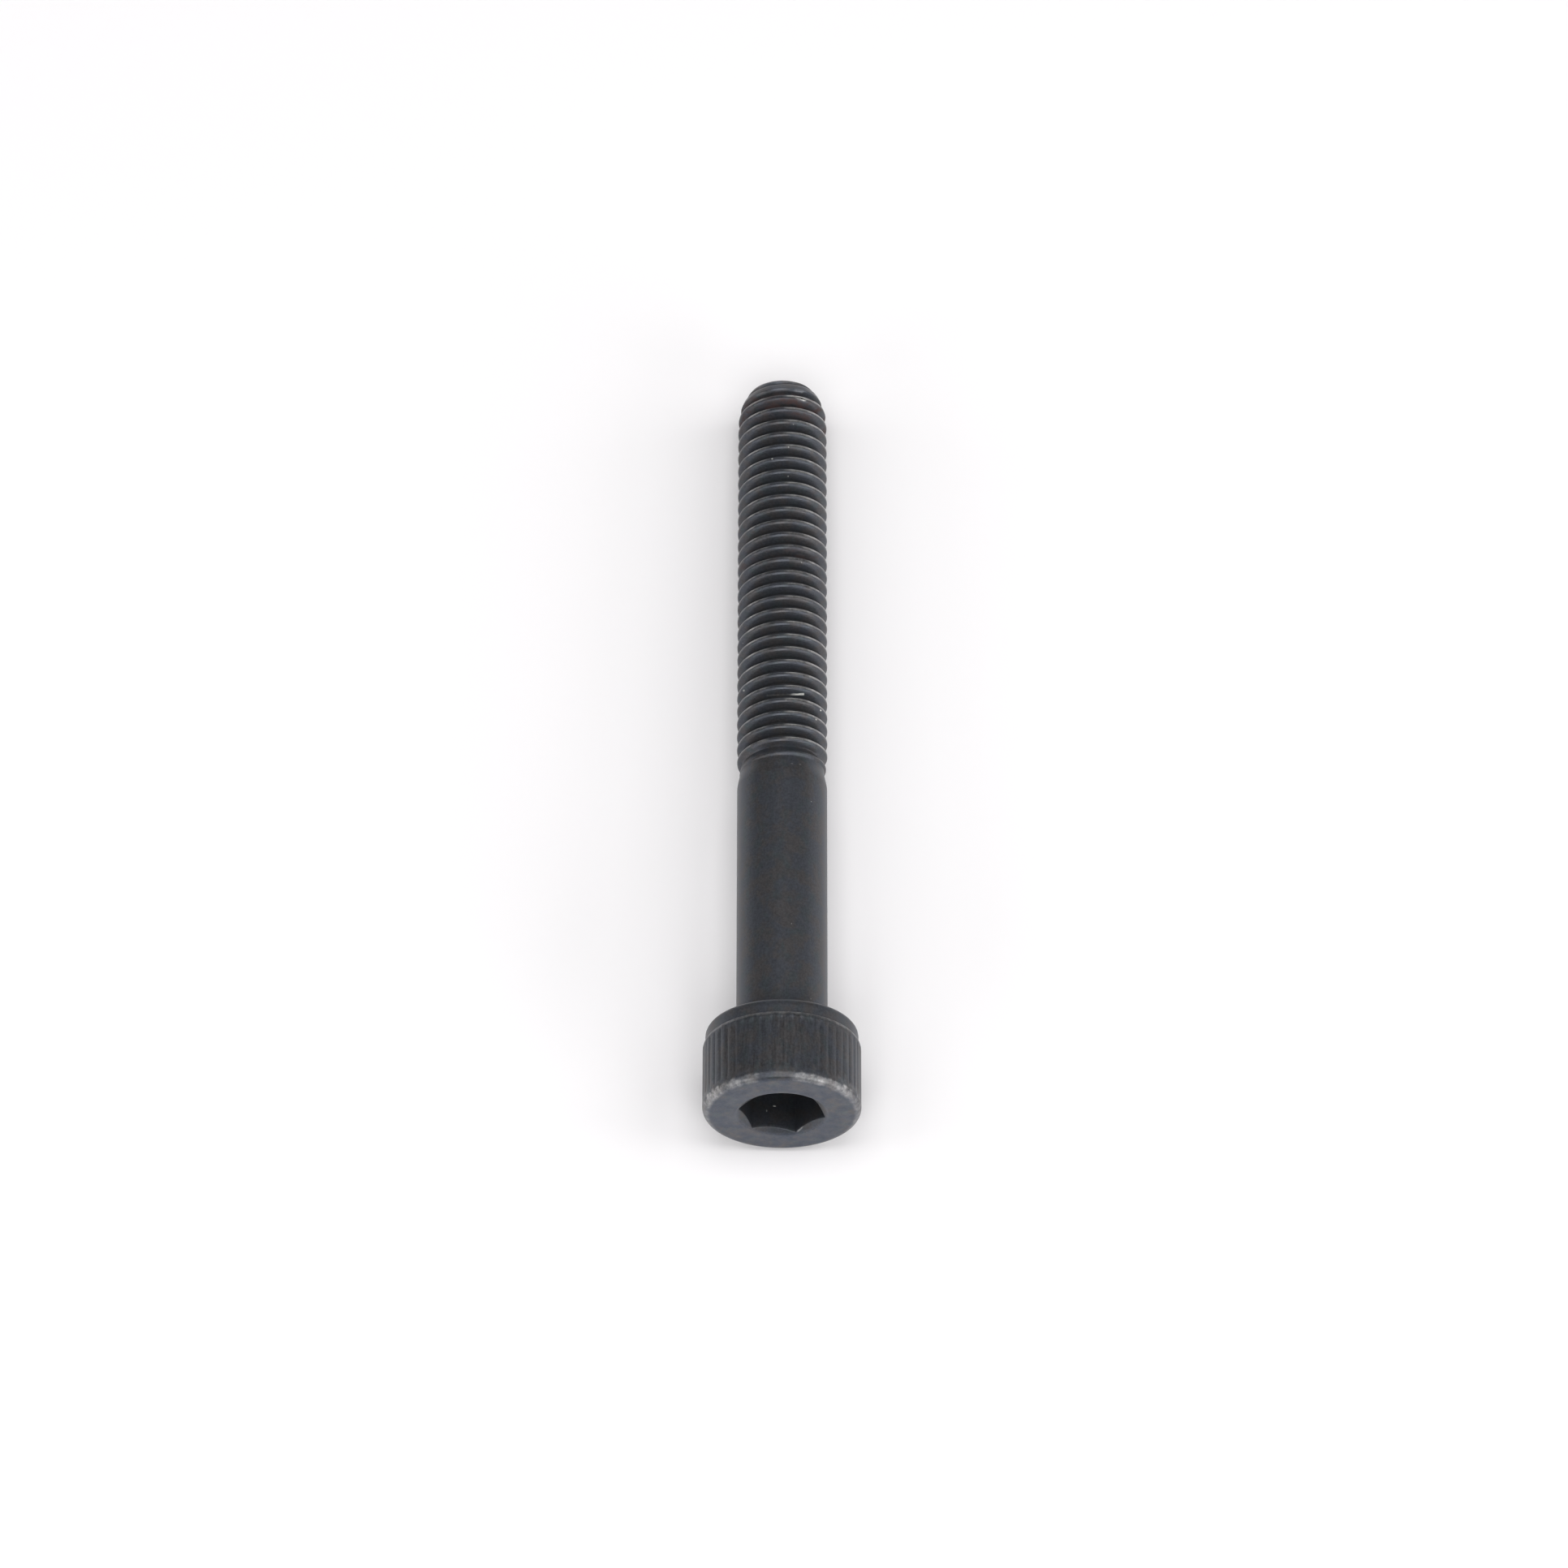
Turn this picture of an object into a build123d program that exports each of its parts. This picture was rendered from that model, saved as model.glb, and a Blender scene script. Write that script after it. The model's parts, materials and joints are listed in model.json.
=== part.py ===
from build123d import *

import os
from math import atan2, cos, pi, radians, sin, sqrt, tan

# Socket head cap screw, metric M5 with a 0.8 mm right-hand thread, 40 mm under the head and
# threaded for the last 24 mm. It is one piece of steel: a cold-headed blank with a straight
# knurl round the head, a hexagon socket, a plain shank, and a neck where the shank steps down
# to the rolled thread. The thread stands here as the cylinder over its crests.
#
# The screw lies on its side at rest, on the knurl and on the last full thread, so its axis
# dips towards the tip. All sizes are in millimetres and all angles in degrees.

# Head, over the knurl
head_diameter = 8.34
head_height = 4.82
face_edge_radius = 0.40
bearing_edge_radius = 0.30

# Plain band between the knurl and the bearing face
band_height = 0.92

# Straight knurl: wide V grooves along the head, with a narrow land on each ridge between them.
# The ridges end in a sloped shoulder above the band, and the grooves run out before the
# rounded rim of the driving face.
knurl_count = 50
knurl_depth = 0.14
knurl_land = 0.04
knurl_rise = 0.14
knurl_shoulder_angle = 45
rim_height = 0.42
runout_length = 0.30

# Hexagon socket with a punched point and a countersunk mouth a little past its corners
socket_across_flats = 4.01
socket_depth = 2.60
socket_point_angle = 140
socket_turn = 48
mouth_margin = 0.115
mouth_angle = 120

# Plain shank under the head
shank_diameter = 4.82
shank_length = 14.70
head_fillet_radius = 0.25

# Neck, a round hollow between the shank and the first full thread
neck_depth = 0.145
neck_length = 1.70

# Thread over its crests, down to the rounded point and its chamfered end
screw_length = 39.54
thread_diameter = 4.91
point_length = 2.00
point_drop = 0.355
end_chamfer = 0.28
end_chamfer_length = 0.22

# Radii and levels that follow from the sizes above. Levels run along the screw's own axis
# from the bearing face, up through the head and down to the tip.
head_radius = head_diameter / 2
band_radius = head_radius - knurl_rise
groove_radius = head_radius - knurl_depth
shank_radius = shank_diameter / 2
thread_radius = thread_diameter / 2
neck_radius = min(shank_radius, thread_radius) - neck_depth
point_radius = thread_radius - point_drop
end_radius = point_radius - end_chamfer
tip = -screw_length
thread_start = -(shank_length + neck_length)
thread_end = tip + point_length
knurl_foot = band_height + knurl_rise / tan(radians(knurl_shoulder_angle))
knurl_top = head_height - rim_height
socket_radius = socket_across_flats / 2
mouth_radius = 2 * socket_radius / sqrt(3) + mouth_margin
groove_half_width = pi * head_radius / knurl_count - knurl_land / 2

# At rest the floor touches the two ridges beside the lowest groove, at the foot of the knurl,
# and the thread where its point begins. The axis dips by the slope between them.
ridge_drop = sqrt(head_radius**2 - groove_half_width**2)
dip = atan2(ridge_drop - thread_radius, knurl_foot - thread_end)

# How far the head's rim and the tip's rim reach along the floor from the bearing face
rim_reach = (
    (head_height - face_edge_radius) * cos(dip)
    + (head_radius - face_edge_radius) * sin(dip)
    + face_edge_radius
)
tip_reach = screw_length * cos(dip) + end_radius * sin(dip)

# Where the screw's own frame comes to rest: the middle of the bearing face, with +Z out
# through the head, so that the lying screw stands on Z = 0 with its box over the origin.
resting_seat = Plane(
    origin=(
        0,
        (rim_reach - tip_reach) / 2,
        thread_radius * cos(dip) - thread_end * sin(dip),
    ),
    x_dir=(1, 0, 0),
    z_dir=(0, -cos(dip), sin(dip)),
)

# What the knurling rolls press out of the head: a ring of V grooves, cut off at their upper
# end by a cone so that each one grows shallower and runs out
with BuildPart() as knurl_grooves:
    with BuildSketch(Plane.XY.offset(band_height)):
        with PolarLocations(head_radius, knurl_count, start_angle=180 / knurl_count):
            Polygon(
                (-knurl_depth, 0),
                (knurl_depth, 2 * groove_half_width),
                (knurl_depth, -2 * groove_half_width),
                align=None,
            )
    extrude(amount=knurl_top - band_height)
    with BuildSketch(Plane.XZ):
        Polygon(
            (0, 0),
            (2 * head_radius, 0),
            (2 * head_radius, knurl_top),
            (head_radius, knurl_top),
            (groove_radius, knurl_top - runout_length),
            (0, knurl_top - runout_length),
            align=None,
        )
    revolve(axis=Axis.Z, mode=Mode.INTERSECT)

# The screw in its own frame, upright on its axis
with BuildPart() as upright_screw:
    # Headed and rolled blank, turned from half its outline
    with BuildSketch(Plane.XZ):
        with BuildLine():
            head_and_shank = Polyline(
                (0, tip),
                (0, head_height),
                (head_radius, head_height),
                (head_radius, knurl_foot),
                (band_radius, band_height),
                (band_radius, 0),
                (shank_radius, 0),
                (shank_radius, -shank_length),
            )
            neck = ThreePointArc(
                head_and_shank @ 1,
                (neck_radius, -shank_length - neck_length / 2),
                (thread_radius, thread_start),
            )
            thread = Line(neck @ 1, (thread_radius, thread_end))
            point = TangentArc(
                thread @ 1, (point_radius, tip + end_chamfer_length), tangent=thread % 1
            )
            Polyline(point @ 1, (end_radius, tip), (0, tip))
        make_face()
    revolve(axis=Axis.Z)

    # Rounded rims of the driving face and the bearing face, and the fillet under the head
    driving_face = upright_screw.faces().sort_by(Axis.Z)[-1]
    fillet(driving_face.edges(), face_edge_radius)
    bearing_face = upright_screw.faces().filter_by(Plane.XY).sort_by(Axis.Z)[-2]
    inner_edge, outer_edge = bearing_face.edges().sort_by(SortBy.RADIUS)
    fillet(inner_edge, head_fillet_radius)
    bearing_face = upright_screw.faces().filter_by(Plane.XY).sort_by(Axis.Z)[-2]
    inner_edge, outer_edge = bearing_face.edges().sort_by(SortBy.RADIUS)
    fillet(outer_edge, bearing_edge_radius)

    # Straight knurl
    add(knurl_grooves.part, mode=Mode.SUBTRACT)

    # Hexagon socket, punched down from the driving face
    with BuildSketch(Plane.XY.offset(head_height)):
        RegularPolygon(socket_radius, 6, major_radius=False, rotation=socket_turn)
    extrude(amount=-socket_depth, mode=Mode.SUBTRACT)

    # Point of the punch at the socket's floor, and the countersink at its mouth
    with BuildSketch(Plane.XZ):
        socket_floor = head_height - socket_depth
        point_depth = socket_radius / tan(radians(socket_point_angle / 2))
        Polygon(
            (0, socket_floor),
            (0, socket_floor - point_depth),
            (socket_radius, socket_floor),
            align=None,
        )
        mouth_depth = mouth_radius / tan(radians(mouth_angle / 2))
        Polygon(
            (0, head_height),
            (0, head_height - mouth_depth),
            (mouth_radius, head_height),
            align=None,
        )
    revolve(axis=Axis.Z, mode=Mode.SUBTRACT)

# The finished screw, laid down as it comes to rest
with BuildPart(resting_seat) as cap_screw:
    add(upright_screw.part)

os.makedirs("parts", exist_ok=True)
cap_screw.part.label = "cap_screw"
export_step(cap_screw.part, "parts/cap_screw.step")
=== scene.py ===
"""Looks of a socket head cap screw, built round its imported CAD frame.

The screw is one piece of black-oxided steel: a knurled head with a hexagon socket, a plain
shank, and a rolled right-hand thread. It is modelled upright on its own axis, in millimetres,
and then laid down where the CAD solid lies. In the screw's own frame the origin is the middle
of the bearing face, +Z points out through the head and +Y up when the screw is at rest.
"""

import json
import logging
import math
import random
from collections.abc import Sequence
from dataclasses import dataclass, field
from enum import Enum
from itertools import pairwise

import bpy
import numpy as np
from mathutils import Matrix, Vector

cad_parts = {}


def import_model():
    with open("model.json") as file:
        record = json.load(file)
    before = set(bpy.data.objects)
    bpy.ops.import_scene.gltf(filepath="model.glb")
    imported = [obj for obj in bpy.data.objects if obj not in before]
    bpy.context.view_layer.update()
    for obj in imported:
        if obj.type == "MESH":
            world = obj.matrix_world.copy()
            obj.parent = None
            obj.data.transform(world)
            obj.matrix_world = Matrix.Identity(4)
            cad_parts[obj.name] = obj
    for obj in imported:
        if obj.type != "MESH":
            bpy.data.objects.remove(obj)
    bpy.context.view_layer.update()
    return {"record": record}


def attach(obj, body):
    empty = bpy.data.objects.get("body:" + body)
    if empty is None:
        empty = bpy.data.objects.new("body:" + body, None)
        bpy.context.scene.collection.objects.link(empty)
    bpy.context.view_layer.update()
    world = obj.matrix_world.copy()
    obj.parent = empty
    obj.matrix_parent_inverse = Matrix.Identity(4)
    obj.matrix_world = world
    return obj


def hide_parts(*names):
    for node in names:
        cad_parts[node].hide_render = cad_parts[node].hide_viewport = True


log = logging.getLogger("cap_screw")

NODE = "cap_screw"
MM = 0.001


# --------------------------------------------------------------------------------------------
# Numbers
# --------------------------------------------------------------------------------------------


def ease(value: np.ndarray | float, start: float, end: float) -> np.ndarray:
    """Smooth rise from 0 at start to 1 at end.

    Args:
        value: Where to read the curve.
        start: Value at which the rise begins. It may be above end.
        end: Value at which the rise is complete.

    Returns:
        The share risen, from 0 to 1, for each value.
    """
    t = np.clip((np.asarray(value, float) - start) / (end - start), 0.0, 1.0)
    return t * t * (3.0 - 2.0 * t)


def soft_min(a: np.ndarray, b: np.ndarray, blend: float) -> np.ndarray:
    """The lower of two heights, with the crease between them rounded.

    Args:
        a: First height.
        b: Second height.
        blend: Difference in height over which the crease is rounded.

    Returns:
        The rounded minimum.
    """
    near = np.clip(blend - np.abs(a - b), 0.0, None) / blend
    return np.minimum(a, b) - near * near * blend / 4.0


def soft_max(a: np.ndarray, b: np.ndarray, blend: float) -> np.ndarray:
    """The higher of two heights, with the crease between them rounded.

    Args:
        a: First height.
        b: Second height.
        blend: Difference in height over which the crease is rounded.

    Returns:
        The rounded maximum.
    """
    return -soft_min(-a, -b, blend)


# --------------------------------------------------------------------------------------------
# Bench: the modelling operators
# --------------------------------------------------------------------------------------------


class Keep(Enum):
    """Which side of a cut stays."""

    ABOVE = "above"
    BELOW = "below"


@dataclass(frozen=True)
class Ring:
    """A circle about the screw's axis, one station of a turned outline.

    Attributes:
        radius: Radius in millimetres.
        level: Height along the screw's axis in millimetres.
    """

    radius: float
    level: float


def arc(
    centre: Ring, radius: float, start_deg: float, end_deg: float, steps: int
) -> list[Ring]:
    """Rings along a circular arc of the half outline.

    Args:
        centre: The arc's centre, as a radius and a level.
        radius: The arc's radius.
        start_deg: Angle of the first ring, from straight outwards towards +Z.
        end_deg: Angle of the last ring.
        steps: Number of spans between them.

    Returns:
        The rings, both ends included.
    """
    angles = [
        math.radians(start_deg + (end_deg - start_deg) * k / steps)
        for k in range(steps + 1)
    ]
    return [
        Ring(centre.radius + radius * math.cos(a), centre.level + radius * math.sin(a))
        for a in angles
    ]


class Blank:
    """One mesh on the bench, shaped with edit-mode operators about the screw's axis."""

    def __init__(self, blank: bpy.types.Object) -> None:
        """Takes an object that an operator has just added."""
        self.object = blank

    @classmethod
    def circle(cls, name: str, ring: Ring, count: int, turn_deg: float = 0.0) -> "Blank":
        """Starts a blank from a circle primitive.

        Args:
            name: Name of the new object.
            ring: Radius and level of the circle.
            count: Number of vertices round it.
            turn_deg: Turn of the circle about the axis.

        Returns:
            The blank, with its place applied to its mesh.
        """
        bpy.ops.object.select_all(action="DESELECT")
        bpy.ops.mesh.primitive_circle_add(
            vertices=count,
            radius=ring.radius,
            location=(0.0, 0.0, ring.level),
            rotation=(0.0, 0.0, math.radians(turn_deg)),
        )
        blank = cls(bpy.context.active_object)
        blank.object.name = name
        bpy.ops.object.transform_apply(location=True, rotation=True, scale=True)
        return blank

    @classmethod
    def single_point(cls, name: str, ring: Ring) -> "Blank":
        """Starts a blank from a plane primitive merged to one point of an outline.

        Args:
            name: Name of the new object.
            ring: Where on the outline the point lies, on the +X side.

        Returns:
            The blank, with that one vertex.
        """
        bpy.ops.object.select_all(action="DESELECT")
        bpy.ops.mesh.primitive_plane_add(
            size=1.0, location=(ring.radius, 0.0, ring.level)
        )
        blank = cls(bpy.context.active_object)
        blank.object.name = name
        bpy.ops.object.transform_apply(location=True, rotation=True, scale=True)
        blank.edit()
        bpy.ops.mesh.select_all(action="SELECT")
        bpy.ops.mesh.merge(type="CENTER")
        blank.leave()
        return blank

    def edit(self, mode: str = "VERT") -> None:
        """Opens this mesh in edit mode, with nothing but this object selected."""
        bpy.ops.object.select_all(action="DESELECT")
        self.object.select_set(True)
        bpy.context.view_layer.objects.active = self.object
        bpy.ops.object.mode_set(mode="EDIT")
        bpy.ops.mesh.select_mode(type=mode)

    def leave(self) -> None:
        """Closes edit mode."""
        bpy.ops.object.mode_set(mode="OBJECT")

    def trace(self, rings: Sequence[Ring]) -> None:
        """Extrudes the blank's one vertex along an outline, as a string of edges.

        Args:
            rings: The outline. The vertex already stands on its first ring.
        """
        self.edit()
        bpy.ops.mesh.select_all(action="SELECT")
        for here, there in pairwise(rings):
            step = (there.radius - here.radius, 0.0, there.level - here.level)
            bpy.ops.mesh.extrude_vertices_move(TRANSFORM_OT_translate={"value": step})
        self.leave()

    def draw_out(self, rings: Sequence[Ring]) -> None:
        """Extrudes the selected loop of edges through a row of rings. Edit mode only.

        Args:
            rings: The rings in order. The loop already lies on the first one.
        """
        for here, there in pairwise(rings):
            rise = (0.0, 0.0, there.level - here.level)
            bpy.ops.mesh.extrude_edges_move(TRANSFORM_OT_translate={"value": rise})
            scale = there.radius / here.radius
            bpy.ops.transform.resize(
                value=(scale, scale, 1.0), center_override=(0.0, 0.0, there.level)
            )

    def cut(self, level: float, keep: Keep) -> None:
        """Bisects the mesh square to the axis and selects the cut edge. Edit mode only.

        Args:
            level: Level of the cut.
            keep: The side that stays.
        """
        bpy.ops.mesh.select_all(action="SELECT")
        bpy.ops.mesh.bisect(
            plane_co=(0.0, 0.0, level),
            plane_no=(0.0, 0.0, 1.0),
            clear_inner=keep is Keep.ABOVE,
            clear_outer=keep is Keep.BELOW,
            threshold=1e-5,
        )
        bpy.ops.mesh.select_all(action="DESELECT")
        self.leave()
        mesh = self.object.data
        on_cut = np.abs(self.points()[:, 2] - level) < 1e-4
        chosen = [
            bool(on_cut[a] and on_cut[b])
            for a, b in (tuple(edge.vertices) for edge in mesh.edges)
        ]
        mesh.edges.foreach_set("select", chosen)
        self.edit("EDGE")

    def points(self) -> np.ndarray:
        """The mesh's vertices as rows of x, y and z. Object mode only."""
        flat = np.empty(len(self.object.data.vertices) * 3)
        self.object.data.vertices.foreach_get("co", flat)
        return flat.reshape(-1, 3)

    def place(self, points: np.ndarray) -> None:
        """Moves every vertex. Object mode only.

        Args:
            points: New rows of x, y and z, in the order of points().
        """
        self.object.data.vertices.foreach_set("co", points.ravel())
        self.object.data.update()

    def set_polar(self, radius: np.ndarray, angle: np.ndarray, level: np.ndarray) -> None:
        """Moves every vertex to a radius, an angle and a level about the screw's axis."""
        self.place(
            np.column_stack([radius * np.cos(angle), radius * np.sin(angle), level])
        )

    def polar(self) -> tuple[np.ndarray, np.ndarray, np.ndarray]:
        """Radius, angle in radians and level of every vertex about the screw's axis."""
        points = self.points()
        radius = np.hypot(points[:, 0], points[:, 1])
        return radius, np.arctan2(points[:, 1], points[:, 0]), points[:, 2]


# --------------------------------------------------------------------------------------------
# Sub-assemblies
# --------------------------------------------------------------------------------------------


@dataclass(frozen=True)
class Nick:
    """A small dent or burr where the screw was knocked.

    Attributes:
        angle_deg: Where it is round the axis, from +X towards +Y.
        level: Where it is along the axis.
        reach: Radius over which it fades out.
        depth: How far the surface is pushed in, or out where it is negative.
    """

    angle_deg: float
    level: float
    reach: float
    depth: float

    def dent(
        self, radius: np.ndarray, angle: np.ndarray, level: np.ndarray
    ) -> np.ndarray:
        """How far this nick pushes each point inwards."""
        turn = np.angle(np.exp(1j * (angle - math.radians(self.angle_deg))))
        near = ((turn * radius) ** 2 + (level - self.level) ** 2) / self.reach**2
        return self.depth * np.exp(-2.0 * near)


@dataclass
class ThreadedShank:
    """Rolled thread, its rounded point, the neck above it and the plain shank.

    Attributes:
        pitch: Distance from crest to crest.
        crest_radius: Radius over the crests.
        root_radius: Radius at the bottom of the groove.
        crest_round: Radius of the rounded crest.
        first_crest: Level of a crest on the +X side.
        facets: Spans round one turn.
        tip: Level of the screw's end.
        point_length: Length of the rounded point.
        point_drop: How much smaller the point's end is than the crests.
        point_bow: How suddenly the point curves in towards its end.
        point_sink: Share of the point's drop that the grooves follow.
        neck_radius: Least radius between shank and thread.
        neck_low: Level where the neck is narrowest.
        shank_end: Level where the plain shank begins to narrow.
        crest_runout: Levels over which the crests sink into the neck.
        root_runout: Levels over which the groove's bottom rises to the neck.
        shank_radius: Radius of the plain shank.
        fillet_radius: Fillet under the head.
        seat_radius: Radius on the bearing face where this part meets the head.
        spare_turns: Turns wound below and above the thread, which are cut away.
        runout_blend: Depth over which the groove's fading edges are rounded.
        point_blend: Depth over which the crests round off under the point's outline.
        end_lift: How far above the tip the thread is cut off.
        end_dish: How far inside the rim and above the tip each ring of the end lies.
        neck_cut: How far above the neck's narrowest level the shank is drawn from.
        nicks: Dents and burrs on the crests.
    """

    pitch: float = 0.8
    crest_radius: float = 2.455
    root_radius: float = 1.964
    crest_round: float = 0.16
    first_crest: float = -37.5
    facets: int = 108
    tip: float = -39.54
    point_length: float = 2.80
    point_drop: float = 0.66
    point_bow: float = 3.2
    point_sink: float = 0.30
    neck_radius: float = 2.265
    neck_low: float = -15.62
    shank_end: float = -14.60
    crest_runout: tuple[float, float] = (-16.60, -15.00)
    root_runout: tuple[float, float] = (-16.70, -15.60)
    shank_radius: float = 2.41
    fillet_radius: float = 0.25
    seat_radius: float = 2.90
    spare_turns: tuple[int, int] = (5, 2)
    runout_blend: float = 0.06
    point_blend: float = 0.10
    end_lift: float = 0.05
    end_dish: tuple[tuple[float, float], ...] = (
        (0.04, 0.012),
        (0.10, 0.0),
        (0.45, 0.0),
        (0.85, 0.03),
        (1.30, 0.06),
    )
    neck_cut: float = 0.35
    nicks: tuple[Nick, ...] = (
        Nick(128.0, -16.35, 0.20, 0.05),
        Nick(131.0, -15.95, 0.14, 0.03),
        Nick(118.0, -17.30, 0.16, 0.03),
        Nick(62.0, -38.48, 0.18, 0.035),
        Nick(74.0, -21.05, 0.16, 0.03),
    )

    def groove_rings(self) -> list[Ring]:
        """Half outline of one pitch, from the middle of one crest to the next.

        Returns:
            Rings of the rounded crest, the 30 degree flank and the rounded root, mirrored
            about the root.
        """
        half = self.pitch / 2
        sharp_depth = half * math.sqrt(3)
        root_round = sharp_depth - (self.crest_radius - self.root_radius) - self.crest_round
        crest = arc(
            Ring(self.crest_radius - self.crest_round, 0.0), self.crest_round, 0, 60, 4
        )
        root = arc(Ring(self.root_radius + root_round, half), root_round, 240, 180, 3)
        high, low = crest[-1], root[0]
        flank = [
            Ring(
                high.radius + (low.radius - high.radius) * share,
                high.level + (low.level - high.level) * share,
            )
            for share in (0.33, 0.66)
        ]
        side = crest + flank + root
        other = [Ring(r.radius, self.pitch - r.level) for r in reversed(side[:-1])]
        return side + other

    def build(self) -> Blank:
        """Models the thread, the point, the neck and the shank as one open tube.

        Returns:
            The blank, open where it meets the bearing face.
        """
        lowest = self.first_crest - self.pitch * self.spare_turns[0]
        turns = math.ceil((self.neck_low - self.first_crest) / self.pitch)
        turns += sum(self.spare_turns)
        rings = [Ring(r.radius, r.level + lowest) for r in self.groove_rings()]
        blank = Blank.single_point("threaded_shank", rings[0])
        blank.trace(rings)
        winding = blank.object.modifiers.new("thread", "SCREW")
        winding.axis = "Z"
        winding.angle = math.tau
        winding.screw_offset = self.pitch
        winding.iterations = turns
        winding.steps = winding.render_steps = self.facets
        winding.use_smooth_shade = True
        bpy.ops.object.modifier_apply(modifier=winding.name)
        blank.edit()
        bpy.ops.mesh.select_all(action="SELECT")
        bpy.ops.mesh.remove_doubles(threshold=1e-4)
        blank.leave()
        self._roll(blank)
        self._close_tip(blank)
        self._draw_shank(blank)
        return blank

    def point_radius(self, level: np.ndarray | float) -> np.ndarray:
        """Outline of the rounded point over the crests."""
        along = (self.tip + self.point_length - level) / self.point_length
        return self.crest_radius - self.point_drop * np.clip(along, 0, 1) ** self.point_bow

    def neck_rise(self, level: np.ndarray | float) -> np.ndarray:
        """How far the neck has widened towards the plain shank."""
        widening = self.shank_radius - self.neck_radius
        return widening * ease(level, self.neck_low, self.shank_end)

    def _roll(self, blank: Blank) -> None:
        """Fades the groove out at the neck, rounds the point and adds the nicks."""
        radius, angle, level = blank.polar()
        sunk = self.crest_radius - self.neck_radius + self.runout_blend
        sunk *= ease(level, *self.crest_runout)
        risen = (self.neck_radius - self.root_radius) * ease(level, *self.root_runout)
        floor = self.root_radius + risen + self.neck_rise(level)
        rolled = soft_max(radius - sunk, floor, self.runout_blend)
        outline = self.point_radius(level)
        rolled = rolled - (self.crest_radius - outline) * self.point_sink
        rolled = soft_min(rolled, outline, self.point_blend)
        for nick in self.nicks:
            rolled = rolled - nick.dent(rolled, angle, level)
        blank.set_polar(rolled, angle, level)

    def _close_tip(self, blank: Blank) -> None:
        """Cuts the thread off at the tip and closes the slightly dished end."""
        cut = self.tip + self.end_lift
        rim = float(self.point_radius(cut))
        dish = [Ring(rim - inside, self.tip + above) for inside, above in self.end_dish]
        blank.edit()
        blank.cut(cut, Keep.ABOVE)
        blank.draw_out([Ring(rim, cut), *dish])
        bpy.ops.mesh.fill()
        blank.leave()

    def _draw_shank(self, blank: Blank) -> None:
        """Draws the neck's upper side, the shank and the fillet out of the cut thread."""
        start = self.neck_low + self.neck_cut
        neck = [
            Ring(self.neck_radius + float(self.neck_rise(z)), float(z))
            for z in np.linspace(start, self.shank_end, 8)
        ]
        shank = [
            Ring(self.shank_radius, float(z))
            for z in np.linspace(self.shank_end, -self.fillet_radius, 14)[1:-1]
        ]
        fillet = arc(
            Ring(self.shank_radius + self.fillet_radius, -self.fillet_radius),
            self.fillet_radius, 180, 90, 6,
        )
        blank.edit()
        blank.cut(start, Keep.BELOW)
        blank.draw_out(neck + shank + fillet + [Ring(self.seat_radius, 0.0)])
        blank.leave()


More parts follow.
